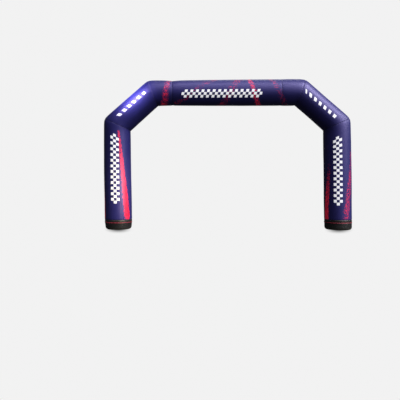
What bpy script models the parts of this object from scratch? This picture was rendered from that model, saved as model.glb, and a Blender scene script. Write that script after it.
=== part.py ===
# Inflatable arch: one air-filled tube of coated cloth in six straight runs, mitred at four corners.
# Metres, +Z up. X runs across the width, the front faces -Y, and the feet stand on z = 0.

from collections import namedtuple
from math import atan2, pi, sin, tan

import bmesh
import bpy
from mathutils import Matrix, Vector
from numpy import interp

# Centre line of the tube, from the left foot over the beam to the right foot
LEG_X = 3.6415
LOWER_CORNER_Z = 3.460
UPPER_CORNER_X = 2.437
BEAM_Z = 4.522
BEAM_RISE = 0.0035  # the beam's right end stands this much above its middle, and the left end below
BEAM_JOINT_X = 1.781

# Each foot is a sole cloth, a cord in the groove above it, and a collar band
PIPING_Z = 0.235
COLLAR_TOP = 0.325
GROOVE_DEPTH = 0.012
GROOVE_HALF_WIDTH = 0.014
PIPING_RADIUS = 0.009
PIPING_SIDES = 8

SIDES = 40
SHARP_ANGLE = pi / 6
GAP = 0.0003  # between neighbouring pieces

# Each side of the arch leans a little, and this is its shift along X at each height
Lean = namedtuple("Lean", "height left right")
LEANS = (
    Lean(0.0, 0.000, 0.000),
    Lean(0.85, -0.012, -0.0115),
    Lean(1.85, -0.033, -0.0175),
    Lean(2.65, -0.0395, -0.032),
    Lean(3.45, -0.044, -0.044),
    Lean(4.55, -0.050, -0.050),
)

# Radius of each run at its start, middle and end, the seam at each end, and the rings between them
Run = namedtuple("Run", "name start middle end start_seam end_seam middle_rings")
RUNS = (
    Run("leg_left", 0.447, 0.445, 0.438, "collar", "mitre", 3),
    Run("shoulder_left", 0.438, 0.428, 0.422, "mitre", "mitre", 1),
    Run("beam_left", 0.422, 0.415, 0.4105, "mitre", "deep_joint", 1),
    Run("beam_centre", 0.4105, 0.4245, 0.4295, "deep_joint", "shallow_joint", 3),
    Run("beam_right", 0.4295, 0.4325, 0.428, "shallow_joint", "mitre", 1),
    Run("shoulder_right", 0.428, 0.423, 0.4325, "mitre", "mitre", 1),
    Run("leg_right", 0.4325, 0.442, 0.437, "mitre", "collar", 3),
)

# How a run draws in towards each kind of seam: all round, and more on the outside of a bend
Draw = namedtuple("Draw", "distance inset outside")
FULL = Draw(0.0, 0.0, 0.0)
SEAMS = {
    "mitre": (Draw(0.0, 0.007, 0.023), Draw(0.035, 0.002, 0.011), Draw(0.13, 0.0, 0.0)),
    "deep_joint": (Draw(0.0, 0.012, 0.012), Draw(0.035, 0.006, 0.013), Draw(0.16, 0.001, 0.010)),
    "shallow_joint": (Draw(0.0, 0.009, 0.0), Draw(0.03, 0.003, 0.0), Draw(0.10, 0.0, 0.0)),
    "collar": (Draw(0.0, 0.010, 0.0), Draw(0.015, 0.003, 0.0), Draw(0.05, 0.0, 0.0)),
}

# Each sole curves in under the tube, and the left one narrows further towards the ground
Level = namedtuple("Level", "height inset")
SOLES = (
    Level(0.0, 0.062),
    Level(0.007, 0.040),
    Level(0.022, 0.020),
    Level(0.050, 0.007),
    Level(0.090, 0.001),
    Level(PIPING_Z - GROOVE_HALF_WIDTH, 0.0),
    Level(PIPING_Z - GAP / 2, GROOVE_DEPTH),
)
COLLARS = (
    Level(PIPING_Z + GAP / 2, GROOVE_DEPTH),
    Level(PIPING_Z + GROOVE_HALF_WIDTH, 0.0),
    Level(COLLAR_TOP - 0.012, 0.001),
    Level(COLLAR_TOP - GAP / 2, 0.008),
)
Foot = namedtuple("Foot", "word side radius taper")
FEET = (Foot("left", -1, 0.444, 0.026), Foot("right", 1, 0.4365, 0.004))

Cloth = namedtuple("Cloth", "colour roughness")
NAVY = Cloth((0.030, 0.024, 0.120), 0.42)
BLACK = Cloth((0.010, 0.010, 0.011), 0.50)
DARK_RED = Cloth((0.200, 0.012, 0.035), 0.50)


def clear_scene():
    for thing in list(bpy.data.objects):
        bpy.data.objects.remove(thing, do_unlink=True)


def make_material(name, cloth):
    material = bpy.data.materials.new(name)
    material.use_nodes = True
    shader = material.node_tree.nodes["Principled BSDF"]
    shader.inputs["Base Color"].default_value = (*cloth.colour, 1.0)
    shader.inputs["Roughness"].default_value = cloth.roughness
    shader.inputs["Metallic"].default_value = 0.0
    return material


def make_object(name, bm, cloth):
    bmesh.ops.recalc_face_normals(bm, faces=bm.faces)
    mesh = bpy.data.meshes.new(name)
    bm.to_mesh(mesh)
    bm.free()
    mesh.materials.append(make_material(name + "_finish", cloth))
    mesh.shade_smooth()
    mesh.set_sharp_from_angle(angle=SHARP_ANGLE)
    thing = bpy.data.objects.new(name, mesh)
    bpy.context.scene.collection.objects.link(thing)
    return thing


def leaning_point(x, z):
    shifts = [row.left if x < 0 else row.right for row in LEANS]
    return Vector((x + float(interp(z, [row.height for row in LEANS], shifts)), 0.0, z))


def centre_line():
    """The point at each seam between two runs, in order."""
    left_end = leaning_point(-UPPER_CORNER_X, BEAM_Z - BEAM_RISE)
    right_end = leaning_point(UPPER_CORNER_X, BEAM_Z + BEAM_RISE)
    joint_share = (UPPER_CORNER_X - BEAM_JOINT_X) / (2 * UPPER_CORNER_X)
    return [
        leaning_point(-LEG_X, COLLAR_TOP),
        leaning_point(-LEG_X, LOWER_CORNER_Z),
        left_end,
        left_end.lerp(right_end, joint_share),
        right_end.lerp(left_end, joint_share),
        right_end,
        leaning_point(LEG_X, LOWER_CORNER_Z),
        leaning_point(LEG_X, COLLAR_TOP),
    ]


def run_directions(points):
    """Legs are stacks of level rings, so their direction is upright in spite of the lean."""
    directions = [(second - first).normalized() for first, second in zip(points, points[1:])]
    directions[0] = Vector((0.0, 0.0, 1.0))
    directions[-1] = Vector((0.0, 0.0, -1.0))
    return directions


def mitre_slopes(directions):
    """Half of each turn of the centre line, as the slope of the seam across the tube."""
    slopes = [0.0]
    for first, second in zip(directions, directions[1:]):
        turn = atan2(first.z, first.x) - atan2(second.z, second.x)
        slopes.append(tan(turn / 2))
    return slopes + [0.0]


def add_ring(bm, centre, along, radius, slope=0.0, outside=0.0):
    """One ring across the tube. Its first axis points to the outside of the bend."""
    outer = Vector((-along.z, 0.0, along.x))
    across = Matrix((outer + slope * along, Vector((0.0, 1.0, 0.0)), along)).transposed()
    made = bmesh.ops.create_circle(bm, cap_ends=False, radius=radius, segments=SIDES)
    for vert in made["verts"]:
        facing_out = max(0.0, vert.co.x / radius)
        vert.co.x -= outside * facing_out * facing_out
        vert.co = centre + across @ vert.co
    return list({edge for vert in made["verts"] for edge in vert.link_edges})


def close_tube(bm, rings):
    for first, second in zip(rings, rings[1:]):
        bmesh.ops.bridge_loops(bm, edges=first + second)
    bmesh.ops.holes_fill(bm, edges=rings[0] + rings[-1], sides=SIDES)


def radius_along(run, share):
    """A smooth curve through the run's three radii."""
    start_part = 2 * (share - 0.5) * (share - 1)
    middle_part = 4 * share * (1 - share)
    end_part = 2 * share * (share - 0.5)
    return run.start * start_part + run.middle * middle_part + run.end * end_part


def run_rows(run, length, start_slope, end_slope):
    """Distance along the run, drawing in and slope of each ring. Only those near a mitre slope."""
    rows = [(draw.distance + GAP / 2, draw, -start_slope) for draw in SEAMS[run.start_seam]]
    for number in range(run.middle_rings):
        rows.append((length * (number + 1) / (run.middle_rings + 1), FULL, 0.0))
    for draw in reversed(SEAMS[run.end_seam]):
        rows.append((length - draw.distance - GAP / 2, draw, end_slope))
    return rows


def make_run(run, start, end, along, start_slope, end_slope):
    bm = bmesh.new()
    length = (end - start).dot(along)
    upright = run.name.startswith("leg")
    rings = []
    for distance, draw, slope in run_rows(run, length, start_slope, end_slope):
        share = distance / length
        centre = start.lerp(end, share)
        if upright:
            centre = leaning_point(-LEG_X if start.x < 0 else LEG_X, centre.z)
        radius = radius_along(run, share) - draw.inset
        rings.append(add_ring(bm, centre, along, radius, slope, draw.outside))
    close_tube(bm, rings)
    return make_object(run.name, bm, NAVY)


def make_levels(name, foot, levels, taper):
    """A stack of level rings, from the ground up or from the cord up."""
    bm = bmesh.new()
    rings = []
    for level in levels:
        low = 1.0 - level.height / PIPING_Z
        centre = leaning_point(foot.side * LEG_X, level.height)
        radius = foot.radius - level.inset - taper * max(0.0, low)
        rings.append(add_ring(bm, centre, Vector((0.0, 0.0, 1.0)), radius))
    close_tube(bm, rings)
    return make_object(name, bm, BLACK)


def make_piping(foot):
    """A round cord that lies against both walls of the groove."""
    wall_angle = atan2(GROOVE_HALF_WIDTH, GROOVE_DEPTH)
    ring_radius = foot.radius - GROOVE_DEPTH + (PIPING_RADIUS + GAP) / sin(wall_angle)
    bm = bmesh.new()
    bmesh.ops.create_circle(bm, cap_ends=False, radius=PIPING_RADIUS, segments=PIPING_SIDES)
    upright = Matrix.Translation((ring_radius, 0.0, 0.0)) @ Matrix.Rotation(pi / 2, 4, "X")
    bmesh.ops.transform(bm, matrix=upright, verts=bm.verts)
    bmesh.ops.spin(
        bm,
        geom=bm.verts[:] + bm.edges[:],
        axis=(0.0, 0.0, 1.0),
        angle=2 * pi,
        steps=SIDES,
        use_merge=True,
    )
    bmesh.ops.translate(bm, vec=leaning_point(foot.side * LEG_X, PIPING_Z), verts=bm.verts)
    return make_object("piping_" + foot.word, bm, DARK_RED)


def make_arch():
    points = centre_line()
    directions = run_directions(points)
    slopes = mitre_slopes(directions)
    things = []
    for index, run in enumerate(RUNS):
        ends = points[index], points[index + 1]
        things.append(make_run(run, *ends, directions[index], slopes[index], slopes[index + 1]))
    for foot in FEET:
        things.append(make_levels("foot_" + foot.word, foot, SOLES, foot.taper))
        things.append(make_levels("collar_" + foot.word, foot, COLLARS, 0.0))
        things.append(make_piping(foot))
    return things


def centre_width(things):
    """Puts the middle of the arch's width over x = 0."""
    across = [vert.co.x for thing in things for vert in thing.data.vertices]
    shift = Matrix.Translation((-(min(across) + max(across)) / 2, 0.0, 0.0))
    for thing in things:
        thing.data.transform(shift)


clear_scene()
centre_width(make_arch())
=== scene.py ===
from math import asin, atan2, cos, exp, pi, radians, sin, tan

import bmesh
import bpy
from mathutils import Matrix, Vector, noise
from numpy import interp


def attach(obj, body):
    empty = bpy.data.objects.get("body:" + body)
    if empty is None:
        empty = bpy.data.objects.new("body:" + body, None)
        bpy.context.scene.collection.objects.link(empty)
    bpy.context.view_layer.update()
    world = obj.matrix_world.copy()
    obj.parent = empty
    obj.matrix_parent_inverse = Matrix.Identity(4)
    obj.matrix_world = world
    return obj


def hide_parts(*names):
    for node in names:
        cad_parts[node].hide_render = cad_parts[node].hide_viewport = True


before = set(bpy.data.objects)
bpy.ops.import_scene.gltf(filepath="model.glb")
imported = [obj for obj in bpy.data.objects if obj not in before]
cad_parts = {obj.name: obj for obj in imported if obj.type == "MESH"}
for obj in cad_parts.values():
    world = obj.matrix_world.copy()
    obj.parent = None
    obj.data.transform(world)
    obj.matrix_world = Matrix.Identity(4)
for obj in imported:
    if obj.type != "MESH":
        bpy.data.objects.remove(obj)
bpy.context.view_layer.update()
scene = bpy.context.scene
frontWay = Vector((0.0, -1.0, 0.0))
gap = 0.0003  # between neighbouring pieces, as in the solids

# Camera

camera = {
    "place": (-0.666, -13.70, 1.500),
    "lens": 37.05,  # on a 36 mm sensor
    "turn": radians(1.0),  # to the left
    "shift": -0.0405,  # the arch stands in the upper part of the frame
}


def setCamera():
    lens = bpy.data.cameras.new("camera")
    lens.lens = camera["lens"]
    lens.sensor_width = 36.0
    lens.shift_y = camera["shift"]
    thing = bpy.data.objects.new("camera", lens)
    thing.location = camera["place"]
    thing.rotation_euler = (pi / 2, 0.0, camera["turn"])
    scene.collection.objects.link(thing)
    scene.camera = thing


setCamera()
print("camera set")

# The tube's middle line, from the left foot over the beam to the right foot

archLine = {
    "legX": 3.6415,
    "collarTop": 0.325,
    "lowerCornerZ": 3.460,
    "upperCornerX": 2.437,
    "beamZ": 4.522,
    "beamRise": 0.0035,  # right end up, left end down
    "beamJointX": 1.781,
    "leanHeights": (0.0, 0.85, 1.85, 2.65, 3.45, 4.55),
    "leanLeft": (0.000, -0.012, -0.033, -0.0395, -0.044, -0.050),
    "leanRight": (0.000, -0.0115, -0.0175, -0.032, -0.044, -0.050),
    "toMiddle": 0.01976,  # puts the middle of the whole width over x = 0
}


def leaningPoint(x, z):
    shifts = archLine["leanLeft"] if x < 0 else archLine["leanRight"]
    lean = float(interp(z, archLine["leanHeights"], shifts))
    return Vector((x + lean + archLine["toMiddle"], 0.0, z))


def seamPoints():
    line = archLine
    leftEnd = leaningPoint(-line["upperCornerX"], line["beamZ"] - line["beamRise"])
    rightEnd = leaningPoint(line["upperCornerX"], line["beamZ"] + line["beamRise"])
    jointShare = (line["upperCornerX"] - line["beamJointX"]) / (2 * line["upperCornerX"])
    return [
        leaningPoint(-line["legX"], line["collarTop"]),
        leaningPoint(-line["legX"], line["lowerCornerZ"]),
        leftEnd,
        leftEnd.lerp(rightEnd, jointShare),
        rightEnd.lerp(leftEnd, jointShare),
        rightEnd,
        leaningPoint(line["legX"], line["lowerCornerZ"]),
        leaningPoint(line["legX"], line["collarTop"]),
    ]


points = seamPoints()
ways = [(second - first).normalized() for first, second in zip(points, points[1:])]
ways[0] = Vector((0.0, 0.0, 1.0))  # legs are stacks of level rings
ways[-1] = Vector((0.0, 0.0, -1.0))
slopes = [0.0]
for first, second in zip(ways, ways[1:]):
    slopes.append(tan((atan2(first.z, first.x) - atan2(second.z, second.x)) / 2))
slopes.append(0.0)

# Shader helpers and shared effects


def link(tree, source, target):
    if isinstance(source, bpy.types.NodeSocket):
        tree.links.new(source, target)
    else:
        target.default_value = source


def calc(tree, operation, *values, clamp=False):
    node = tree.nodes.new("ShaderNodeMath")
    node.operation = operation
    node.use_clamp = clamp
    for value, socket in zip(values, node.inputs):
        link(tree, value, socket)
    return node.outputs[0]


def vectorCalc(tree, operation, *values):
    node = tree.nodes.new("ShaderNodeVectorMath")
    node.operation = operation
    for value, socket in zip(values, node.inputs):
        link(tree, value, socket)
    return node.outputs["Value" if operation in ("DOT_PRODUCT", "LENGTH") else "Vector"]


def blendNumbers(tree, share, low, high):
    node = tree.nodes.new("ShaderNodeMapRange")
    for value, socket in zip((share, 0.0, 1.0, low, high), node.inputs):
        link(tree, value, socket)
    return node.outputs["Result"]


def softStep(tree, value, low, high):
    node = tree.nodes.new("ShaderNodeMapRange")
    node.interpolation_type = "SMOOTHSTEP"
    for number, socket in zip((value, low, high, 0.0, 1.0), node.inputs):
        link(tree, number, socket)
    return node.outputs["Result"]


def mixColours(tree, share, first, second, kind="MIX"):
    node = tree.nodes.new("ShaderNodeMix")
    node.data_type = "RGBA"
    node.blend_type = kind
    for value, name in ((share, "Factor_Float"), (first, "A_Color"), (second, "B_Color")):
        link(tree, value, next(s for s in node.inputs if s.identifier == name))
    return next(s for s in node.outputs if s.identifier == "Result_Color")


def texture(tree, kind, place, **numbers):
    node = tree.nodes.new("ShaderNodeTex" + kind)
    link(tree, place, node.inputs["Vector"])
    for name, value in numbers.items():
        node.inputs[name].default_value = value
    return node


def startGroup(name, inputs, outputs):
    tree = bpy.data.node_groups.new(name, "ShaderNodeTree")
    for label, kind, value in inputs:
        socket = tree.interface.new_socket(
            name=label, in_out="INPUT", socket_type="NodeSocket" + kind
        )
        socket.default_value = value
    for label in outputs:
        tree.interface.new_socket(name=label, in_out="OUTPUT", socket_type="NodeSocketFloat")
    given = tree.nodes.new("NodeGroupInput").outputs
    wanted = tree.nodes.new("NodeGroupOutput").inputs
    return tree, given, wanted


def useGroup(tree, group, **values):
    node = tree.nodes.new("ShaderNodeGroup")
    node.node_tree = group
    for name, value in values.items():
        label = "".join(" " + c.lower() if c.isupper() else c for c in name).strip().capitalize()
        link(tree, value, node.inputs[label])
    return node.outputs


# A stripe of stipple between two places on the cloth, denser in its middle
def makeStreakGroup():
    zero = (0.0, 0.0, 0.0)
    tree, given, wanted = startGroup(
        "stippledStreak",
        (
            ("Place", "Vector", zero), ("Start", "Vector", zero), ("End", "Vector", zero),
            ("Start width", "Float", 0.1), ("End width", "Float", 0.1),
            ("Start cover", "Float", 1.0), ("End cover", "Float", 1.0),
            ("Dots", "Float", 30.0),
        ),
        ("Mask",),
    )
    whole = vectorCalc(tree, "SUBTRACT", given["End"], given["Start"])
    part = vectorCalc(tree, "SUBTRACT", given["Place"], given["Start"])
    wholeSquare = vectorCalc(tree, "DOT_PRODUCT", whole, whole)
    share = calc(tree, "DIVIDE", vectorCalc(tree, "DOT_PRODUCT", part, whole), wholeSquare)
    inside = calc(tree, "MULTIPLY", share, 1.0, clamp=True)
    onLine = tree.nodes.new("ShaderNodeVectorMath")
    onLine.operation = "SCALE"
    link(tree, whole, onLine.inputs[0])
    link(tree, share, onLine.inputs["Scale"])
    away = vectorCalc(tree, "LENGTH", vectorCalc(tree, "SUBTRACT", part, onLine.outputs[0]))
    width = blendNumbers(tree, inside, given["Start width"], given["End width"])
    cover = blendNumbers(tree, inside, given["Start cover"], given["End cover"])
    fromEdge = calc(tree, "SUBTRACT", 1.0, calc(tree, "DIVIDE", away, width))
    across = calc(tree, "MULTIPLY", fromEdge, 1.7, clamp=True)
    ends = calc(
        tree, "MULTIPLY",
        softStep(tree, share, -0.03, 0.05),
        calc(tree, "SUBTRACT", 1.0, softStep(tree, share, 0.95, 1.03)),
    )
    density = calc(tree, "MULTIPLY", calc(tree, "MULTIPLY", across, cover), ends)
    cells = texture(tree, "Voronoi", given["Place"])
    link(tree, given["Dots"], cells.inputs["Scale"])
    chance = calc(tree, "MULTIPLY_ADD", cells.outputs["Color"], 1.1, 0.35)
    reach = calc(tree, "MULTIPLY", density, chance)
    edge = calc(tree, "SUBTRACT", reach, cells.outputs["Distance"])
    link(tree, calc(tree, "MULTIPLY_ADD", edge, 9.0, 0.2, clamp=True), wanted["Mask"])
    return tree


# A leaning block of chequers, or of bars where a square is as high as the block
def makeChequerGroup():
    tree, given, wanted = startGroup(
        "leaningChequers",
        (
            ("Place", "Vector", (0.0, 0.0, 0.0)), ("Middle", "Vector", (0.0, 0.0, 0.0)),
            ("Half length", "Float", 1.0), ("Half height", "Float", 0.1),
            ("Square length", "Float", 0.1), ("Square height", "Float", 0.1),
            ("Lean", "Float", 0.2),
        ),
        ("Mask",),
    )
    split = tree.nodes.new("ShaderNodeSeparateXYZ")
    link(tree, vectorCalc(tree, "SUBTRACT", given["Place"], given["Middle"]), split.inputs[0])
    across, along = split.outputs["X"], split.outputs["Y"]
    leaning = calc(tree, "MULTIPLY_ADD", across, given["Lean"], along)
    lengthLeft = calc(tree, "SUBTRACT", given["Half length"], calc(tree, "ABSOLUTE", leaning))
    heightLeft = calc(tree, "SUBTRACT", given["Half height"], calc(tree, "ABSOLUTE", across))
    block = calc(
        tree, "MULTIPLY",
        calc(tree, "GREATER_THAN", lengthLeft, 0.0),
        calc(tree, "GREATER_THAN", heightLeft, 0.0),
    )
    advanced = calc(tree, "ADD", leaning, given["Half length"])
    column = calc(tree, "FLOOR", calc(tree, "DIVIDE", advanced, given["Square length"]))
    raised = calc(tree, "ADD", across, given["Half height"])
    row = calc(tree, "FLOOR", calc(tree, "DIVIDE", raised, given["Square height"]))
    odd = calc(tree, "FLOORED_MODULO", calc(tree, "ADD", column, row), 2.0)
    link(tree, calc(tree, "MULTIPLY", block, odd), wanted["Mask"])
    return tree


# Plain weave with a thicker thread at even steps, both ways, with painted shade: darker in the weave's
# hollows, lighter on its raised threads
def makeWeaveGroup():
    tree, given, wanted = startGroup(
        "coatedWeave",
        (
            ("Place", "Vector", (0.0, 0.0, 0.0)), ("Thread", "Float", 0.003),
            ("Rip stop", "Float", 0.012),
        ),
        ("Height", "Shade"),
    )
    split = tree.nodes.new("ShaderNodeSeparateXYZ")
    link(tree, given["Place"], split.inputs[0])
    waves, lines = [], []
    for axis in ("X", "Y"):
        turns = calc(tree, "DIVIDE", split.outputs[axis], given["Thread"])
        waves.append(calc(tree, "SINE", calc(tree, "MULTIPLY", turns, 2 * pi)))
        steps = calc(tree, "DIVIDE", split.outputs[axis], given["Rip stop"])
        fromLine = calc(tree, "PINGPONG", steps, 0.5)
        lines.append(calc(tree, "SUBTRACT", 1.0, softStep(tree, fromLine, 0.03, 0.09)))
    over = calc(tree, "MULTIPLY_ADD", calc(tree, "MULTIPLY", *waves), 0.25, 0.3)
    grid = calc(tree, "MAXIMUM", *lines)
    height = calc(tree, "MULTIPLY_ADD", grid, 0.45, over)
    link(tree, height, wanted["Height"])
    # painted shade: darker where the weave lies lower
    link(tree, calc(tree, "MULTIPLY_ADD", height, 0.16, 0.92), wanted["Shade"])
    return tree


# Faint sharp creases from being folded away, and slow unevenness of the coating
def makeCreaseGroup():
    tree, given, wanted = startGroup(
        "packingCreases",
        (("Place", "Vector", (0.0, 0.0, 0.0)), ("Size", "Float", 2.6)),
        ("Height", "Tone"),
    )
    slow = texture(tree, "Noise", given["Place"], Scale=1.7, Detail=3.0)
    bent = vectorCalc(tree, "MULTIPLY_ADD", slow.outputs["Color"], (0.35, 0.35, 0.0), given["Place"])
    cells = texture(tree, "Voronoi", bent)
    cells.feature = "DISTANCE_TO_EDGE"
    link(tree, given["Size"], cells.inputs["Scale"])
    crease = softStep(tree, cells.outputs["Distance"], 0.0, 0.045)
    fine = texture(tree, "Noise", given["Place"], Scale=9.0, Detail=4.0)
    height = calc(tree, "MULTIPLY_ADD", fine.outputs["Fac"], 0.6, crease)
    link(tree, height, wanted["Height"])
    link(tree, slow.outputs["Fac"], wanted["Tone"])
    return tree


# Rubbed and dusty patches, from how near a seam or the ground is; at the printed cloth's seams they are
# partly wear and dirt, partly painted shade in the seam grooves
def makeWearAndShadeGroup():
    tree, given, wanted = startGroup(
        "seamWearAndShade",
        (
            ("Place", "Vector", (0.0, 0.0, 0.0)), ("Near", "Float", 0.0),
            ("Patch size", "Float", 22.0),
        ),
        ("Mask",),
    )
    patches = texture(tree, "Noise", given["Place"], Detail=5.0)
    link(tree, given["Patch size"], patches.inputs["Scale"])
    edge = calc(tree, "MULTIPLY_ADD", patches.outputs["Fac"], 1.6, -0.9)
    worn = calc(tree, "MULTIPLY", calc(tree, "ADD", given["Near"], edge), given["Near"])
    link(tree, calc(tree, "MULTIPLY", worn, 1.4, clamp=True), wanted["Mask"])
    return tree


streakGroup = makeStreakGroup()
chequerGroup = makeChequerGroup()
weaveGroup = makeWeaveGroup()
creaseGroup = makeCreaseGroup()
wearAndShadeGroup = makeWearAndShadeGroup()
print("shared effects built")

# Materials


def newMaterial(name, specular):
    material = bpy.data.materials.new(name)
    material.use_nodes = True
    tree = material.node_tree
    shader = tree.nodes["Principled BSDF"]
    shader.inputs["Specular IOR Level"].default_value = specular
    return material, tree, shader


def clothPlace(tree):
    node = tree.nodes.new("ShaderNodeUVMap")
    node.uv_map = "cloth"
    return node.outputs["UV"]


def attribute(tree, name):
    node = tree.nodes.new("ShaderNodeAttribute")
    node.attribute_name = name
    return node.outputs["Fac"]


def bumps(tree, shader, *layers):
    normal = None
    for height, distance, strength in layers:
        node = tree.nodes.new("ShaderNodeBump")
        node.inputs["Strength"].default_value = strength
        node.inputs["Distance"].default_value = distance
        link(tree, height, node.inputs["Height"])
        if normal:
            link(tree, normal, node.inputs["Normal"])
        normal = node.outputs["Normal"]
    link(tree, normal, shader.inputs["Normal"])


printedCloth = {
    "navy": (0.0100, 0.0100, 0.070, 1.0),
    "navyDeep": (0.0070, 0.0070, 0.056, 1.0),
    "crimson": (0.30, 0.001, 0.010, 1.0),
    "pink": (0.55, 0.012, 0.040, 1.0),
    "white": (0.80, 0.80, 0.84, 1.0),
    # seam colour of the printed cloth: partly wear and dirt, partly painted shade in the seam grooves
    "worn": (0.012, 0.012, 0.05, 1.0),
    "wearAndShadeShare": 0.5,
    "redDepth": 0.85,  # share of each ink's colour that takes the light
    "whiteDepth": 0.45,
    "redGlow": 0.27,  # share that it gives off, which keeps it bright in the shade
    "whiteGlow": 0.62,
    "dots": 42.0,  # stipple cells in a metre of streak
    "roughness": 0.48,
    "specular": 0.5,
    "tint": (0.54, 0.46, 1.0, 1.0),
    "creaseBump": (0.003, 0.15),  # distance and strength
    "weaveBump": (0.0004, 0.35),
}


def printedMaterial(name, streaks, blocks):
    look = printedCloth
    material, tree, shader = newMaterial(name, look["specular"])
    shader.inputs["Specular Tint"].default_value = look["tint"]
    place = clothPlace(tree)
    weave = useGroup(tree, weaveGroup, Place=place)
    crease = useGroup(tree, creaseGroup, Place=place)
    seamWearAndShade = useGroup(tree, wearAndShadeGroup, Place=place, Near=attribute(tree, "nearSeam"))["Mask"]
    ground = mixColours(tree, crease["Tone"], look["navyDeep"], look["navy"])
    red = 0.0
    for streak in streaks:
        mask = useGroup(
            tree, streakGroup, Place=place,
            Start=(*streak["start"], 0.0), End=(*streak["end"], 0.0),
            StartWidth=streak["widths"][0], EndWidth=streak["widths"][1],
            StartCover=streak["covers"][0], EndCover=streak["covers"][1], Dots=look["dots"],
        )["Mask"]
        red = calc(tree, "MAXIMUM", red, mask)
    grain = texture(tree, "Voronoi", place, Scale=look["dots"])
    tone = softStep(tree, grain.outputs["Color"], 0.25, 0.75)
    twoTone = mixColours(tree, tone, look["crimson"], look["pink"])
    colour = mixColours(tree, red, ground, twoTone)
    white = 0.0
    for block in blocks:
        mask = useGroup(
            tree, chequerGroup, Place=place, Middle=(*block["middle"], 0.0),
            HalfLength=block["length"] / 2, HalfHeight=block["height"] / 2,
            SquareLength=block["square"][0], SquareHeight=block["square"][1],
            Lean=block["lean"],
        )["Mask"]
        white = calc(tree, "MAXIMUM", white, mask)
    colour = mixColours(tree, white, colour, look["white"])
    # patches of dull greyish navy beside the seams: wear and dirt, with painted shade in the seam grooves
    rubbedAndShaded = calc(tree, "MULTIPLY", seamWearAndShade, look["wearAndShadeShare"])
    fadedAndShaded = mixColours(tree, rubbedAndShaded, colour, look["worn"])
    # painted shade of the weave multiplied into the colour
    shaded = mixColours(tree, 1.0, fadedAndShaded, weave["Shade"], "MULTIPLY")
    redDepth = blendNumbers(tree, red, 1.0, look["redDepth"])
    depth = blendNumbers(tree, white, redDepth, look["whiteDepth"])
    link(tree, mixColours(tree, 1.0, shaded, depth, "MULTIPLY"), shader.inputs["Base Color"])
    redGlow = calc(tree, "MULTIPLY", red, look["redGlow"])
    glow = blendNumbers(tree, white, redGlow, look["whiteGlow"])
    link(tree, mixColours(tree, 1.0, shaded, glow, "MULTIPLY"), shader.inputs["Emission Color"])
    shader.inputs["Emission Strength"].default_value = 1.0
    dull = calc(tree, "MULTIPLY_ADD", crease["Tone"], 0.12, look["roughness"] - 0.06)
    link(tree, calc(tree, "MULTIPLY_ADD", seamWearAndShade, 0.15, dull), shader.inputs["Roughness"])
    bumps(
        tree, shader,
        (crease["Height"], *look["creaseBump"]), (weave["Height"], *look["weaveBump"]),
    )
    return material


blackCloth = {
    "black": (0.0075, 0.0072, 0.008, 1.0),
    "dust": (0.10, 0.09, 0.08, 1.0),
    "worn": (0.04, 0.04, 0.042, 1.0),
    "dustShare": 0.3,
    "wearAndShadeShare": 0.25,
    "roughness": 0.40,
    "specular": 0.30,
    "creaseBump": (0.004, 0.5),
    "weaveBump": (0.0006, 0.6),
}


def blackMaterial(name, thread):
    look = blackCloth
    material, tree, shader = newMaterial(name, look["specular"])
    place = clothPlace(tree)
    weave = useGroup(tree, weaveGroup, Place=place, Thread=thread, RipStop=thread * 5)
    crease = useGroup(tree, creaseGroup, Place=place, Size=5.0)
    near = attribute(tree, "nearGround")
    dust = useGroup(tree, wearAndShadeGroup, Place=place, Near=near, PatchSize=16.0)["Mask"]
    scuffs = useGroup(tree, wearAndShadeGroup, Place=place, Near=attribute(tree, "nearSeam"))["Mask"]
    dustShare = calc(tree, "MULTIPLY", dust, look["dustShare"])
    dusty = mixColours(tree, dustShare, look["black"], look["dust"])
    wearAndShadeShare = calc(tree, "MULTIPLY", scuffs, look["wearAndShadeShare"])
    rubbedAndShaded = mixColours(tree, wearAndShadeShare, dusty, look["worn"])
    # painted shade of the weave multiplied into the colour
    shaded = mixColours(tree, 1.0, rubbedAndShaded, weave["Shade"], "MULTIPLY")
    link(tree, shaded, shader.inputs["Base Color"])
    dull = calc(tree, "MULTIPLY_ADD", crease["Tone"], 0.16, look["roughness"] - 0.08)
    link(tree, calc(tree, "MULTIPLY_ADD", dust, 0.3, dull), shader.inputs["Roughness"])
    bumps(
        tree, shader,
        (crease["Height"], *look["creaseBump"]), (weave["Height"], *look["weaveBump"]),
    )
    return material


pipingCord = {
    "red": (0.23, 0.012, 0.035, 1.0),
    "redDark": (0.11, 0.006, 0.018, 1.0),
    "roughness": 0.55,
    "specular": 0.35,
    "twist": 0.012,  # length of one turn of the cover
    "bump": (0.0015, 0.8),
}


def pipingMaterial():
    look = pipingCord
    material, tree, shader = newMaterial("pipingCover", look["specular"])
    place = clothPlace(tree)
    split = tree.nodes.new("ShaderNodeSeparateXYZ")
    link(tree, place, split.inputs[0])
    slant = calc(tree, "MULTIPLY_ADD", split.outputs["X"], 0.9, split.outputs["Y"])
    turns = calc(tree, "DIVIDE", slant, look["twist"])
    rib = calc(tree, "PINGPONG", turns, 0.5)
    tone = texture(tree, "Noise", place, Scale=40.0, Detail=3.0)
    # painted shade: darker in the hollows of the cover's twist, with random tone from the noise
    shade = calc(tree, "MULTIPLY_ADD", rib, 1.2, calc(tree, "MULTIPLY", tone.outputs["Fac"], 0.5))
    colour = mixColours(tree, shade, look["redDark"], look["red"])
    link(tree, colour, shader.inputs["Base Color"])
    link(
        tree, calc(tree, "MULTIPLY_ADD", tone.outputs["Fac"], 0.2, look["roughness"] - 0.1),
        shader.inputs["Roughness"],
    )
    bumps(tree, shader, (rib, *look["bump"]))
    return material


sewingThread = {
    "navy": (0.03, 0.028, 0.12, 1.0),
    "black": (0.03, 0.03, 0.032, 1.0),
    "roughness": 0.6,
    "specular": 0.4,
    "bump": (0.0005, 0.6),
}


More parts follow.
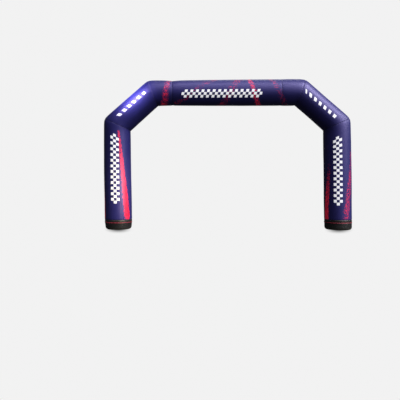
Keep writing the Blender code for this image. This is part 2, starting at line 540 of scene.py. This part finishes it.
def threadMaterial(name, colour):
    material, tree, shader = newMaterial(name, sewingThread["specular"])
    place = tree.nodes.new("ShaderNodeTexCoord").outputs["Object"]
    strands = texture(tree, "Wave", place, Scale=160.0, Distortion=2.0)
    strands.bands_direction = "DIAGONAL"
    # painted shade: darker in the hollows between the twisted strands
    tone = calc(tree, "MULTIPLY_ADD", strands.outputs["Fac"], 0.5, 0.5)
    shaded = mixColours(tree, 1.0, colour, tone, "MULTIPLY")
    link(tree, shaded, shader.inputs["Base Color"])
    link(
        tree, calc(tree, "MULTIPLY_ADD", strands.outputs["Fac"], 0.15, sewingThread["roughness"]),
        shader.inputs["Roughness"],
    )
    bumps(tree, shader, (strands.outputs["Fac"], *sewingThread["bump"]))
    return material


# Building cloth tubes: a row of rings, each placed by its own rule, bridged and closed

tube = {
    "sides": 144,
    "seamAngle": -pi * 0.66,  # where the length is sewn shut, inside and behind
    "nominalRadius": 0.43,  # the cloth map's scale round the tube
    "firstStep": 0.005,
    "longStep": 0.030,
    "stepGrowth": 1.22,
    "sharpEdge": pi / 4,
}


def finishMesh(name, bm, material):
    bmesh.ops.recalc_face_normals(bm, faces=bm.faces)
    mesh = bpy.data.meshes.new(name)
    bm.to_mesh(mesh)
    bm.free()
    mesh.materials.append(material)
    mesh.shade_smooth()
    mesh.set_sharp_from_angle(angle=tube["sharpEdge"])
    thing = bpy.data.objects.new(name, mesh)
    scene.collection.objects.link(thing)
    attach(thing, "root")
    return thing


# rows are distances along the tube, and place says where each point of a ring goes
def ringTube(name, rows, place, material, facts):
    bm = bmesh.new()
    sides = tube["sides"]
    cloth = bm.loops.layers.uv.new("cloth")
    layers = [(bm.verts.layers.float.new(label), rule) for label, rule in facts.items()]
    around = bm.verts.layers.float.new("around")
    along = bm.verts.layers.float.new("along")
    rings = []
    for row in rows:
        made = bmesh.ops.create_circle(bm, cap_ends=False, radius=1.0, segments=sides)["verts"]
        for number, vert in enumerate(made):
            angle = tube["seamAngle"] + 2 * pi * number / sides
            vert.co = place(row, angle)
            vert[around] = angle
            vert[along] = row
            for layer, rule in layers:
                vert[layer] = rule(row, angle)
        rings.append(list({edge for vert in made for edge in vert.link_edges}))
    for first, second in zip(rings, rings[1:]):
        bmesh.ops.bridge_loops(bm, edges=first + second)
    bmesh.ops.holes_fill(bm, edges=rings[0] + rings[-1], sides=sides)
    for face in bm.faces:
        start = max(loop.vert[around] for loop in face.loops) - pi
        wraps = len(face.loops) == 4
        for loop in face.loops:
            angle = loop.vert[around]
            if wraps and angle < start:
                angle += 2 * pi
            loop[cloth].uv = (angle * tube["nominalRadius"], loop.vert[along])
    bm.verts.layers.float.remove(bm.verts.layers.float["around"])
    bm.verts.layers.float.remove(bm.verts.layers.float["along"])
    return finishMesh(name, bm, material)


# Close together beside the seams at both ends, and even between them
def rowPlaces(length):
    half, step, near = 0.0, tube["firstStep"], [gap / 2]
    while half + step < length / 2 and step < tube["longStep"]:
        half += step
        near.append(half)
        step *= tube["stepGrowth"]
    middle = length - 2 * half
    count = max(1, round(middle / tube["longStep"]))
    between = [half + middle * number / count for number in range(1, count)]
    return near + between + [length - place for place in reversed(near)]


# The seven printed runs

seams = {
    "mitre": {
        "inset": 0.007, "insetReach": 0.030, "outside": 0.0, "outsideReach": 0.05,
        "outsidePower": 1, "pleat": 0.0014, "pleats": 38, "pleatReach": 0.055,
        "round": 0.052, "roundFront": 0.115,  # how far the corner's soft rounding reaches
    },
    "deepJoint": {
        "inset": 0.012, "insetReach": 0.060, "outside": 0.012, "outsideReach": 0.22,
        "outsidePower": 2, "pleat": 0.0024, "pleats": 44, "pleatReach": 0.075,
        "round": 0.0, "roundFront": 0.0,
    },
    "shallowJoint": {
        "inset": 0.007, "insetReach": 0.040, "outside": 0.0, "outsideReach": 0.05,
        "outsidePower": 1, "pleat": 0.0014, "pleats": 44, "pleatReach": 0.060,
        "round": 0.0, "roundFront": 0.0,
    },
    "collar": {
        "inset": 0.010, "insetReach": 0.0125, "outside": 0.0, "outsideReach": 0.05,
        "outsidePower": 1, "pleat": 0.0020, "pleats": 52, "pleatReach": 0.055,
        "round": 0.0, "roundFront": 0.0,
    },
}

chequers = {"height": 0.27, "square": (0.09, 0.09)}  # three rows, on the legs and the beam
bars = {"height": 0.11, "square": (0.10, 0.12)}  # one row, on the shoulders

# The cloth map counts metres round the tube from the front, and heights on a leg, x on the beam,
# or the distance from the lower corner on a shoulder. Streaks and blocks are placed on that map.
runs = {
    "leg_left": {
        "radii": (0.447, 0.445, 0.438), "seams": ("collar", "mitre"), "mapStep": 1,
        "streaks": (
            {"start": (-0.40, 0.32), "end": (-0.125, 3.31), "widths": (0.15, 0.05), "covers": (1.25, 0.8)},
            {"start": (0.50, 0.32), "end": (0.52, 1.70), "widths": (0.13, 0.06), "covers": (0.9, 0.4)},
            {"start": (1.05, 0.32), "end": (1.48, 3.1), "widths": (0.06, 0.17), "covers": (0.5, 1.0)},
        ),
        "blocks": (
            {"middle": (0.0, 1.99), "length": 2.25, "lean": 0.0, **chequers},
            {"middle": (1.35, 1.99), "length": 2.25, "lean": 0.0, **chequers},
        ),
    },
    "shoulder_left": {
        "radii": (0.438, 0.428, 0.422), "seams": ("mitre", "mitre"), "mapStep": 1,
        "streaks": (),
        "blocks": (
            {"middle": (0.11, 0.83), "length": 1.30, "lean": 0.35, **bars},
        ),
    },
    "beam_left": {
        "radii": (0.422, 0.415, 0.4105), "seams": ("mitre", "deepJoint"), "mapStep": 1,
        "streaks": (
            {"start": (-0.78, -2.13), "end": (0.97, -1.84), "widths": (0.17, 0.12), "covers": (0.62, 0.38)},
        ),
        "blocks": (),
    },
    "beam_centre": {
        "radii": (0.4105, 0.4245, 0.4295), "seams": ("deepJoint", "shallowJoint"), "mapStep": 1,
        "streaks": (
            {"start": (-0.54, -1.74), "end": (0.62, -0.24), "widths": (0.15, 0.12), "covers": (0.34, 0.32)},
            {"start": (-0.83, -0.33), "end": (0.97, 0.64), "widths": (0.19, 0.15), "covers": (0.40, 0.38)},
            {"start": (-0.83, 1.09), "end": (1.32, 0.44), "widths": (0.13, 0.12), "covers": (0.62, 0.48)},
            {"start": (-0.83, 2.01), "end": (0.82, 1.25), "widths": (0.14, 0.12), "covers": (0.26, 0.40)},
        ),
        "blocks": (
            {"middle": (-0.108, -0.195), "length": 2.60, "lean": -0.2, **chequers},
            {"middle": (1.36, -0.195), "length": 2.60, "lean": -0.2, **chequers},
        ),
    },
    "beam_right": {
        "radii": (0.4295, 0.4325, 0.428), "seams": ("shallowJoint", "mitre"), "mapStep": 1,
        "streaks": (
            {"start": (-0.83, 2.01), "end": (0.82, 1.25), "widths": (0.14, 0.12), "covers": (0.26, 0.40)},
        ),
        "blocks": (),
    },
    "shoulder_right": {
        "radii": (0.428, 0.423, 0.4325), "seams": ("mitre", "mitre"), "mapStep": -1,
        "streaks": (),
        "blocks": (
            {"middle": (0.03, 0.83), "length": 1.36, "lean": -0.35, **bars},
        ),
    },
    "leg_right": {
        "radii": (0.4325, 0.442, 0.437), "seams": ("mitre", "collar"), "mapStep": -1,
        "streaks": (
            {"start": (-0.56, 0.32), "end": (-0.38, 2.3), "widths": (0.15, 0.08), "covers": (1.3, 0.10)},
            {"start": (0.13, 0.32), "end": (0.45, 2.56), "widths": (0.18, 0.13), "covers": (0.52, 0.38)},
            {"start": (1.65, 0.32), "end": (1.20, 2.95), "widths": (0.17, 0.06), "covers": (1.0, 0.4)},
        ),
        "blocks": (
            {"middle": (-0.11, 1.93), "length": 2.25, "lean": 0.0, **chequers},
            {"middle": (1.24, 1.93), "length": 2.25, "lean": 0.0, **chequers},
        ),
    },
}


def radiusAlong(radii, share):
    start, middle, end = radii
    return (
        start * 2 * (share - 0.5) * (share - 1)
        + middle * 4 * share * (1 - share)
        + end * 2 * share * (share - 0.5)
    )


clothForm = {
    "turnedEdge": 0.0025,  # how far the edge turns into the seam
    "innerPleats": 1.6,  # deeper by this share on the inside of a bend
    "pleatStart": 0.012,
    "slowWave": 0.0022,
    "slopeReach": 0.45,  # share of a run over which its rings turn to the mitre
    "wearAndShadeReach": 0.015,
}


# How far the cloth is pulled in at this distance from the seam
def seamDraw(seam, away, facing, angle, seed, slope):
    draw = seam["inset"] * exp(-away / seam["insetReach"])
    draw += clothForm["turnedEdge"] * exp(-away / clothForm["turnedEdge"])
    reach = seam["round"] * max(0.0, facing) + seam["roundFront"] * (1.0 - facing * facing) ** 0.8
    if reach > 0.002:
        draw += facing * abs(slope) * reach * exp(-away / reach)
    outside = max(0.0, facing) ** 2
    draw += seam["outside"] * outside * exp(-((away / seam["outsideReach"]) ** seam["outsidePower"]))
    inner = 1.0 + clothForm["innerPleats"] * max(0.0, -facing) * (seam["round"] > 0)
    drift = 1.7 * noise.noise(Vector((cos(angle) * 1.5, sin(angle) * 1.5, seed)))
    wave = sin(angle * seam["pleats"] + drift * 3.0)
    uneven = 0.7 + 0.8 * noise.noise(Vector((cos(angle) * 3.1, sin(angle) * 3.1, seed + 4.7)))
    reach = seam["pleatReach"] * (0.8 + 0.4 * uneven)
    rise = min(1.0, away / clothForm["pleatStart"])
    draw += seam["pleat"] * inner * uneven * wave * exp(-((away / reach) ** 2)) * rise
    return draw


def runRule(name, number):
    run = runs[name]
    start, end, way = points[number], points[number + 1], ways[number]
    out = Vector((-way.z, 0.0, way.x))
    length = (end - start).dot(way)
    startSeam, endSeam = seams[run["seams"][0]], seams[run["seams"][1]]
    fade = clothForm["slopeReach"] * length

    def place(distance, angle):
        share = distance / length
        centre = start.lerp(end, share)
        if name.startswith("leg"):
            centre = leaningPoint(-archLine["legX"] if start.x < 0 else archLine["legX"], centre.z)
        facing = sin(angle)
        radius = radiusAlong(run["radii"], share)
        radius -= seamDraw(startSeam, distance, facing, angle, number, slopes[number])
        radius -= seamDraw(endSeam, length - distance, facing, angle, number + 1, slopes[number + 1])
        slow = Vector((cos(angle) * 0.6, sin(angle) * 0.6, distance * 1.4 + number * 3.0))
        radius += clothForm["slowWave"] * noise.noise(slow * 1.6)
        offset = radius * (facing * out + cos(angle) * frontWay)
        nearStart = max(0.0, 1.0 - distance / fade)
        nearEnd = max(0.0, 1.0 - (length - distance) / fade)
        ease = [n * n * (3 - 2 * n) for n in (nearStart, nearEnd)]
        slope = slopes[number + 1] * ease[1] - slopes[number] * ease[0]
        return centre + offset + way * (slope * radius * facing)

    def nearSeam(distance, angle):
        return exp(-min(distance, length - distance) / clothForm["wearAndShadeReach"])

    return place, nearSeam, length


stitches = {
    "length": 0.011,
    "pitch": 0.016,
    "slimness": 7,  # length over half the width
    "flatness": 9,  # length over half the thickness
    "lift": 0.06,  # share of the length that its middle stands above the cloth
    "fromSeam": 0.012,
    "fromCord": 0.021,
    "fromCollarTop": 0.014,
    "probeAngle": 0.01,  # small steps that find the cloth's slant at a stitch
    "probeRow": 0.003,
}


# Short rounded stitches that lie on the cloth along one ring
def stitchRow(bm, place, row):
    size = stitches["length"]
    turned, moved = stitches["probeAngle"], stitches["probeRow"]
    count = round(2 * pi * tube["nominalRadius"] / stitches["pitch"])
    sized = Matrix.Diagonal((size / 2, size / stitches["slimness"], size / stitches["flatness"], 1.0))
    for number in range(count):
        angle = 2 * pi * number / count
        here = place(row, angle)
        way = (place(row, angle + turned) - place(row, angle - turned)).normalized()
        side = place(row + moved, angle) - place(row - moved, angle)
        normal = way.cross(side).normalized()
        if normal.dot(here - place(row, angle + pi)) < 0:
            normal.negate()
        turn = Matrix((way, normal.cross(way), normal)).transposed().to_4x4()
        bmesh.ops.create_icosphere(
            bm, subdivisions=1, radius=1.0,
            matrix=Matrix.Translation(here + normal * size * stitches["lift"]) @ turn @ sized,
        )


navyThread = threadMaterial("navyThread", sewingThread["navy"])
blackThread = threadMaterial("blackThread", sewingThread["black"])

for number, (name, run) in enumerate(runs.items()):
    place, nearSeam, length = runRule(name, number)
    material = printedMaterial(name + "_cloth", run["streaks"], run["blocks"])
    piece = ringTube(
        name + "_cloth", rowPlaces(length), place, material,
        {"nearSeam": nearSeam},
    )
    start = points[number]
    mapStart = {"leg": start.z, "beam": start.x, "shoulder": 0.0 if start.x < 0 else length}
    for corner in piece.data.uv_layers["cloth"].data:
        corner.uv[1] = mapStart[name.split("_")[0]] + run["mapStep"] * corner.uv[1]
    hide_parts(name)
    bm = bmesh.new()
    for row in (stitches["fromSeam"], length - stitches["fromSeam"]):
        stitchRow(bm, place, row)
    sewn = finishMesh(name + "_stitches", bm, navyThread)
print("printed runs made")

# Feet: sole cloth, cord and collar

foot = {
    "radius": {"left": 0.444, "right": 0.4365},
    "pipingZ": 0.235,
    "grooveDepth": 0.012,
    "grooveHalf": 0.014,
    "curlHeight": 0.085,  # the sole curves in below this
    "curlInset": 0.062,
    "curlPower": 1.8,
    "pleats": 30,
    "pleat": 0.0025,
    "slowWave": 0.0025,
    "collarPleats": 52,
    "collarPleat": 0.0012,
    "topInset": 0.008,  # the collar turns in at its top
    "topReach": 0.006,
    "grooveStep": 0.003,  # between the rings at the groove
    "taper": {"left": 0.026, "right": 0.004},
    "side": {"left": -1, "right": 1},
    "cordRadius": 0.009,
    "cordSides": 12,
    "dustHeight": 0.13,
}


def soleInset(height, angle, seed):
    left = max(0.0, 1.0 - height / foot["curlHeight"])
    power = foot["curlPower"]
    inset = foot["curlInset"] * (1.0 - (1.0 - left ** power) ** (1.0 / power))
    above = foot["pipingZ"] - height
    inset += foot["grooveDepth"] * exp(-((above / foot["grooveHalf"]) ** 2) * 2.0)
    uneven = 0.7 + 0.8 * noise.noise(Vector((cos(angle) * 2.3, sin(angle) * 2.3, seed)))
    reach = left * (1.0 - left) * 4.0
    inset += foot["pleat"] * uneven * reach * sin(angle * foot["pleats"] + 4.0 * uneven)
    slow = Vector((cos(angle) * 1.4, sin(angle) * 1.4, height * 5.0 + seed))
    return inset + foot["slowWave"] * noise.noise(slow)


def collarInset(height, angle, seed):
    below = height - foot["pipingZ"]
    above = archLine["collarTop"] - height
    inset = foot["grooveDepth"] * exp(-((below / foot["grooveHalf"]) ** 2) * 2.0)
    inset += foot["topInset"] * exp(-above / foot["topReach"])
    uneven = 0.7 + 0.8 * noise.noise(Vector((cos(angle) * 2.9, sin(angle) * 2.9, seed)))
    wave = sin(angle * foot["collarPleats"] + 3.0 * uneven)
    return inset + foot["collarPleat"] * uneven * wave


def footRule(word, insetRule, seed):
    side = foot["side"][word]
    out = Vector((side, 0.0, 0.0))

    def place(height, angle):
        low = max(0.0, 1.0 - height / foot["pipingZ"])
        radius = foot["radius"][word] - insetRule(height, angle, seed) - foot["taper"][word] * low
        offset = radius * (sin(angle) * out + cos(angle) * frontWay)
        return leaningPoint(side * archLine["legX"], height) + offset

    return place


def soleRows():
    curl, step = foot["curlHeight"], foot["grooveStep"]
    grooveStart = foot["pipingZ"] - 10 * step
    lower = [curl * (number / 18) ** 1.6 for number in range(19)]
    count = 7
    upper = [curl + (grooveStart - curl) * number / count for number in range(1, count)]
    groove = [grooveStart + number * step for number in range(10)]
    return lower + upper + groove + [foot["pipingZ"] - gap / 2]


def collarRows():
    low, top, step = foot["pipingZ"], archLine["collarTop"], foot["grooveStep"]
    groove = [low + gap / 2] + [low + step * number for number in range(1, 10)]
    edge = [top - left for left in (0.018, 0.012, 0.008, 0.005, 0.0025, gap / 2)]
    count = 4
    flat = [groove[-1] + (edge[0] - groove[-1]) * number / count for number in range(1, count)]
    return groove + flat + edge


# A full turn of a round cord, lying against both walls of its groove
def makeCord(word, material):
    side = foot["side"][word]
    wall = atan2(foot["grooveHalf"], foot["grooveDepth"])
    ringRadius = foot["radius"][word] - foot["grooveDepth"] + (foot["cordRadius"] + gap) / sin(wall)
    bm = bmesh.new()
    bmesh.ops.create_circle(
        bm, cap_ends=False, radius=foot["cordRadius"], segments=foot["cordSides"]
    )
    upright = Matrix.Translation((ringRadius, 0.0, 0.0)) @ Matrix.Rotation(pi / 2, 4, "X")
    bmesh.ops.transform(bm, matrix=upright, verts=bm.verts)
    bmesh.ops.spin(
        bm, geom=bm.verts[:] + bm.edges[:], axis=(0.0, 0.0, 1.0), angle=2 * pi,
        steps=tube["sides"], use_merge=True,
    )
    bmesh.ops.remove_doubles(bm, verts=bm.verts, dist=0.0001)
    cloth = bm.loops.layers.uv.new("cloth")
    for face in bm.faces:
        middle = face.calc_center_median()
        turn = atan2(middle.y, middle.x)
        for loop in face.loops:
            spot = loop.vert.co
            angle = atan2(spot.y, spot.x)
            angle += 2 * pi * round((turn - angle) / (2 * pi))
            outward = Vector((spot.x, spot.y)).length - ringRadius
            rim = asin(max(-1.0, min(1.0, spot.z / foot["cordRadius"])))
            loop[cloth].uv = (rim * foot["cordRadius"] * (1 if outward > 0 else -1), angle * ringRadius)
    bmesh.ops.translate(
        bm, verts=bm.verts, vec=leaningPoint(side * archLine["legX"], foot["pipingZ"])
    )
    return finishMesh("piping_" + word + "_cord", bm, material)


soleCloth = blackMaterial("soleCloth", 0.004)
collarCloth = blackMaterial("collarCloth", 0.003)
pipingCover = pipingMaterial()

for seed, word in enumerate(("left", "right")):
    solePlace = footRule(word, soleInset, seed * 5.0)
    sole = ringTube(
        "foot_" + word + "_cloth", soleRows(), solePlace, soleCloth,
        {
            "nearGround": lambda height, angle: max(0.0, 1.0 - height / foot["dustHeight"]),
            "nearSeam": lambda height, angle: exp((height - foot["pipingZ"]) / 0.02),
        },
    )
    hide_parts("foot_" + word)
    collarPlace = footRule(word, collarInset, seed * 5.0 + 2.0)
    collar = ringTube(
        "collar_" + word + "_cloth", collarRows(), collarPlace, collarCloth,
        {
            "nearGround": lambda height, angle: 0.0,
            "nearSeam": lambda height, angle: exp((height - archLine["collarTop"]) / 0.012),
        },
    )
    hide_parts("collar_" + word)
    cord = makeCord(word, pipingCover)
    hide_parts("piping_" + word)
    bm = bmesh.new()
    stitchRow(bm, solePlace, foot["pipingZ"] - stitches["fromCord"])
    sewn = finishMesh("foot_" + word + "_stitches", bm, blackThread)
    bm = bmesh.new()
    collarTop = archLine["collarTop"]
    for row in (foot["pipingZ"] + stitches["fromCord"], collarTop - stitches["fromCollarTop"]):
        stitchRow(bm, collarPlace, row)
    sewn = finishMesh("collar_" + word + "_stitches", bm, blackThread)
print("feet made")

# Studio

studio = {
    "pale": 0.887,
    "floorSize": 60.0,
    "shadowWidth": 0.50,  # half width of each foot's contact shadow
    "shadowDepth": 1.35,  # and how far it fades out to the front
    "shadowForward": 0.1,
    "shadowLean": {-1: 0.22, 1: -0.33},  # towards the middle of the passage
    "shadowLight": 0.05,
    "ambientBehind": 0.05,
    "ambientFront": 0.08,
    "softness": 0.35,
    "lamps": (  # degrees to the right of the front, height in degrees and strength
        ("keyHigh", 60, 50, 5.6),
        ("keyLow", 60, 20, 1.5),
        ("top", 0, 75, 1.4),
        ("frontHigh", 0, 45, 0.7),
        ("frontLow", 30, 20, 0.9),
        ("side", 90, 30, 1.2),
        ("rim", 170, 50, 0.3),
    ),
    "panelSpread": 0.7,
    "panels": (  # place, target, size, watts and colour of each soft panel
        ("legPanel", (-1.2, -2.6, 1.5), (-3.6, 0.0, 1.3), 1.6, 24.0, (1.0, 0.84, 0.48)),
        ("shoulderPanel", (-4.1, -1.9, 5.5), (-3.05, 0.0, 4.3), 0.5, 36.0, (0.60, 0.57, 0.90)),
    ),
}


def makeFloor():
    bm = bmesh.new()
    bmesh.ops.create_grid(bm, x_segments=1, y_segments=1, size=studio["floorSize"])
    mesh = bpy.data.meshes.new("floor")
    bm.to_mesh(mesh)
    bm.free()
    material = bpy.data.materials.new("paleFloor")
    material.use_nodes = True
    tree = material.node_tree
    tree.nodes.clear()
    place = tree.nodes.new("ShaderNodeTexCoord").outputs["Object"]
    light = studio["pale"]
    for side in (-1, 1):  # a soft contact shadow under each foot
        centre = leaningPoint(side * archLine["legX"], 0.0) + studio["shadowForward"] * frontWay
        split = tree.nodes.new("ShaderNodeSeparateXYZ")
        link(tree, vectorCalc(tree, "SUBTRACT", place, tuple(centre)), split.inputs[0])
        leaning = calc(tree, "MULTIPLY", split.outputs["Y"], studio["shadowLean"][side])
        sideways = calc(tree, "ADD", split.outputs["X"], leaning)
        across = calc(tree, "DIVIDE", sideways, studio["shadowWidth"])
        along = calc(tree, "DIVIDE", split.outputs["Y"], studio["shadowDepth"])
        squares = [calc(tree, "MULTIPLY", part, part) for part in (across, along)]
        reach = calc(tree, "SQRT", calc(tree, "ADD", *squares))
        shade = blendNumbers(tree, softStep(tree, reach, 0.0, 1.0), studio["shadowLight"], 1.0)
        light = calc(tree, "MULTIPLY", light, shade)
    glow = tree.nodes.new("ShaderNodeEmission")
    glow.inputs["Color"].default_value = (1.0, 1.0, 1.0, 1.0)
    link(tree, light, glow.inputs["Strength"])
    result = tree.nodes.new("ShaderNodeOutputMaterial")
    link(tree, glow.outputs[0], result.inputs["Surface"])
    mesh.materials.append(material)
    thing = bpy.data.objects.new("floor", mesh)
    scene.collection.objects.link(thing)
    thing.visible_diffuse = False
    thing.visible_glossy = False
    thing.visible_shadow = False


def makeWorld():
    world = bpy.data.worlds.new("studio")
    world.use_nodes = True
    tree = world.node_tree
    tree.nodes.clear()
    way = tree.nodes.new("ShaderNodeTexCoord").outputs["Generated"]
    split = tree.nodes.new("ShaderNodeSeparateXYZ")
    link(tree, way, split.inputs[0])
    front = softStep(tree, split.outputs["Y"], 0.4, -0.4)
    ambient = blendNumbers(tree, front, studio["ambientBehind"], studio["ambientFront"])
    seen = tree.nodes.new("ShaderNodeLightPath").outputs["Is Camera Ray"]
    strength = blendNumbers(tree, seen, ambient, studio["pale"])
    backdrop = tree.nodes.new("ShaderNodeBackground")
    backdrop.inputs["Color"].default_value = (1.0, 1.0, 1.0, 1.0)
    link(tree, strength, backdrop.inputs["Strength"])
    result = tree.nodes.new("ShaderNodeOutputWorld")
    link(tree, backdrop.outputs[0], result.inputs["Surface"])
    scene.world = world


def makeLamps():
    for name, turn, height, strength in studio["lamps"]:
        light = bpy.data.lights.new(name, "SUN")
        light.energy = strength
        light.angle = studio["softness"]
        level = cos(radians(height))
        way = Vector((sin(radians(turn)) * level, -cos(radians(turn)) * level, sin(radians(height))))
        thing = bpy.data.objects.new(name, light)
        thing.rotation_euler = way.to_track_quat("Z", "Y").to_euler()
        scene.collection.objects.link(thing)
    for name, place, target, size, power, colour in studio["panels"]:
        light = bpy.data.lights.new(name, "AREA")
        light.size = size
        light.spread = studio["panelSpread"]
        light.energy = power
        light.color = colour
        thing = bpy.data.objects.new(name, light)
        thing.location = place
        way = Vector(place) - Vector(target)
        thing.rotation_euler = way.to_track_quat("Z", "Y").to_euler()
        scene.collection.objects.link(thing)


makeFloor()
makeWorld()
makeLamps()
scene.view_settings.view_transform = "Standard"
print("studio set")
